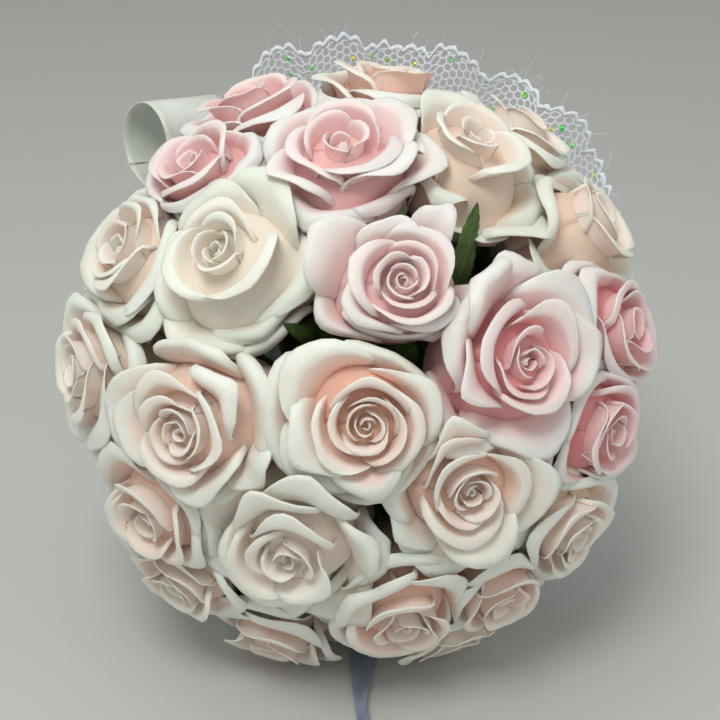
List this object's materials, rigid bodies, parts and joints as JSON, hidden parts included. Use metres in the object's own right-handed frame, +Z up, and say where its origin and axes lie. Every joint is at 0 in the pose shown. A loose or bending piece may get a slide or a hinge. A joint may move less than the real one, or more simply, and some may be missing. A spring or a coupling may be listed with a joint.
{
  "type": "rose bouquet",
  "caption": "Round hand-tied bouquet of blush, pink and cream garden roses with a lace collar, satin-wrapped handle and bow, lying on its side.",
  "frame": {"origin": "middle of the footprint, on the surface that the bouquet lies on", "axes": "+Z up; the dome of roses faces -Y and a little up, the handle points to +Y and a little down; +X is right as seen facing the dome"},
  "size_m": [0.2272, 0.3234, 0.2167],
  "materials": {
    "petal_blush": "soft rose petal, cream edge over blush",
    "petal_pink": "soft rose petal, pink",
    "petal_cream": "soft rose petal, cream",
    "stem_green": "green stem, satin",
    "leaf_green": "dark green leaf, slightly glossy",
    "lace_white": "white net lace with small bright sequins",
    "satin_ivory": "ivory satin ribbon",
    "narrow_ribbon": "narrow satin ribbon, cool grey"
  },
  "bodies": {
    "root": {"rose_01": "petal_blush", "rose_02": "petal_pink", "rose_03": "petal_pink", "rose_04": "petal_cream", "rose_05": "petal_blush", "rose_06": "petal_pink", "rose_07": "petal_blush", "rose_08": "petal_blush", "rose_09": "petal_cream", "rose_10": "petal_cream", "rose_11": "petal_cream", "rose_12": "petal_blush", "rose_13": "petal_pink", "rose_14": "petal_pink", "rose_15": "petal_cream", "rose_16": "petal_pink", "rose_17": "petal_pink", "rose_18": "petal_cream", "rose_19": "petal_blush", "rose_20": "petal_blush", "rose_21": "petal_cream", "rose_22": "petal_blush", "rose_23": "petal_cream", "rose_24": "petal_cream", "rose_25": "petal_blush", "stem_01": "stem_green", "stem_02": "stem_green", "stem_03": "stem_green", "stem_04": "stem_green", "stem_05": "stem_green", "stem_06": "stem_green", "stem_07": "stem_green", "stem_08": "stem_green", "stem_09": "stem_green", "stem_10": "stem_green", "stem_11": "stem_green", "stem_12": "stem_green", "stem_13": "stem_green", "stem_14": "stem_green", "stem_15": "stem_green", "stem_16": "stem_green", "stem_17": "stem_green", "stem_18": "stem_green", "stem_19": "stem_green", "stem_20": "stem_green", "stem_21": "stem_green", "stem_22": "stem_green", "stem_23": "stem_green", "stem_24": "stem_green", "stem_25": "stem_green", "leaf_01": "leaf_green", "leaf_02": "leaf_green", "leaf_03": "leaf_green", "lace_collar": "lace_white", "handle_wrap": "satin_ivory", "bow_knot": "satin_ivory", "bow_loop_left": "satin_ivory", "bow_loop_right": "satin_ivory", "ribbon_tail": "narrow_ribbon"}
  },
  "joints": []
}
